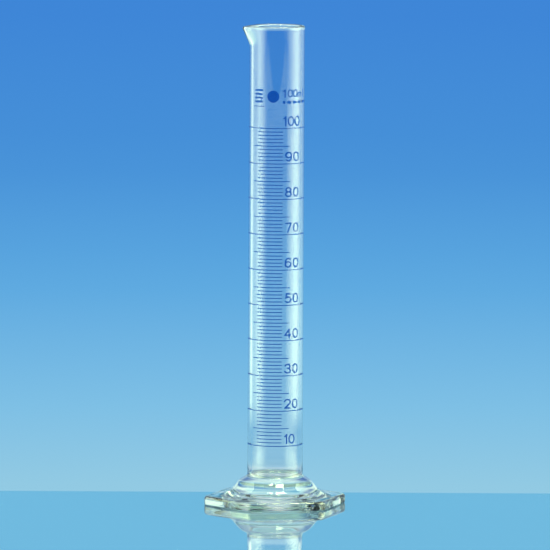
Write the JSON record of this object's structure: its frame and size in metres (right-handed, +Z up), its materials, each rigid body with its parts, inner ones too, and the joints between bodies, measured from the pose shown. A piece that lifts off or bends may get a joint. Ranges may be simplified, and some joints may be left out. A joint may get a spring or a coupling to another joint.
{
  "type": "graduated cylinder",
  "caption": "Tall glass measuring cylinder with a pouring lip, a hexagonal glass foot and a printed blue millilitre scale.",
  "frame": {"origin": "centre of the foot's underside, on the tube's axis", "axes": "+Z up along the tube, the printed scale faces -Y, the pouring lip points to -X"},
  "size_m": [0.0752, 0.073, 0.2559],
  "materials": {
    "glass": "gloss",
    "blue_enamel": "satin"
  },
  "bodies": {
    "root": {"glass_tube": "glass", "hex_foot": "glass", "long_line_010": "blue_enamel", "long_line_020": "blue_enamel", "long_line_030": "blue_enamel", "long_line_040": "blue_enamel", "long_line_050": "blue_enamel", "long_line_060": "blue_enamel", "long_line_070": "blue_enamel", "long_line_080": "blue_enamel", "long_line_090": "blue_enamel", "long_line_100": "blue_enamel", "numeral_010": "blue_enamel", "numeral_020": "blue_enamel", "numeral_030": "blue_enamel", "numeral_040": "blue_enamel", "numeral_050": "blue_enamel", "numeral_060": "blue_enamel", "numeral_070": "blue_enamel", "numeral_080": "blue_enamel", "numeral_090": "blue_enamel", "numeral_100": "blue_enamel", "medium_line_015": "blue_enamel", "medium_line_025": "blue_enamel", "medium_line_035": "blue_enamel", "medium_line_045": "blue_enamel", "medium_line_055": "blue_enamel", "medium_line_065": "blue_enamel", "medium_line_075": "blue_enamel", "medium_line_085": "blue_enamel", "medium_line_095": "blue_enamel", "short_lines_010_020": "blue_enamel", "short_lines_020_030": "blue_enamel", "short_lines_030_040": "blue_enamel", "short_lines_040_050": "blue_enamel", "short_lines_050_060": "blue_enamel", "short_lines_060_070": "blue_enamel", "short_lines_070_080": "blue_enamel", "short_lines_080_090": "blue_enamel", "short_lines_090_100": "blue_enamel", "capacity_mark": "blue_enamel", "disc_mark": "blue_enamel", "block_mark": "blue_enamel", "under_bar": "blue_enamel", "dash_row": "blue_enamel"}
  },
  "joints": []
}
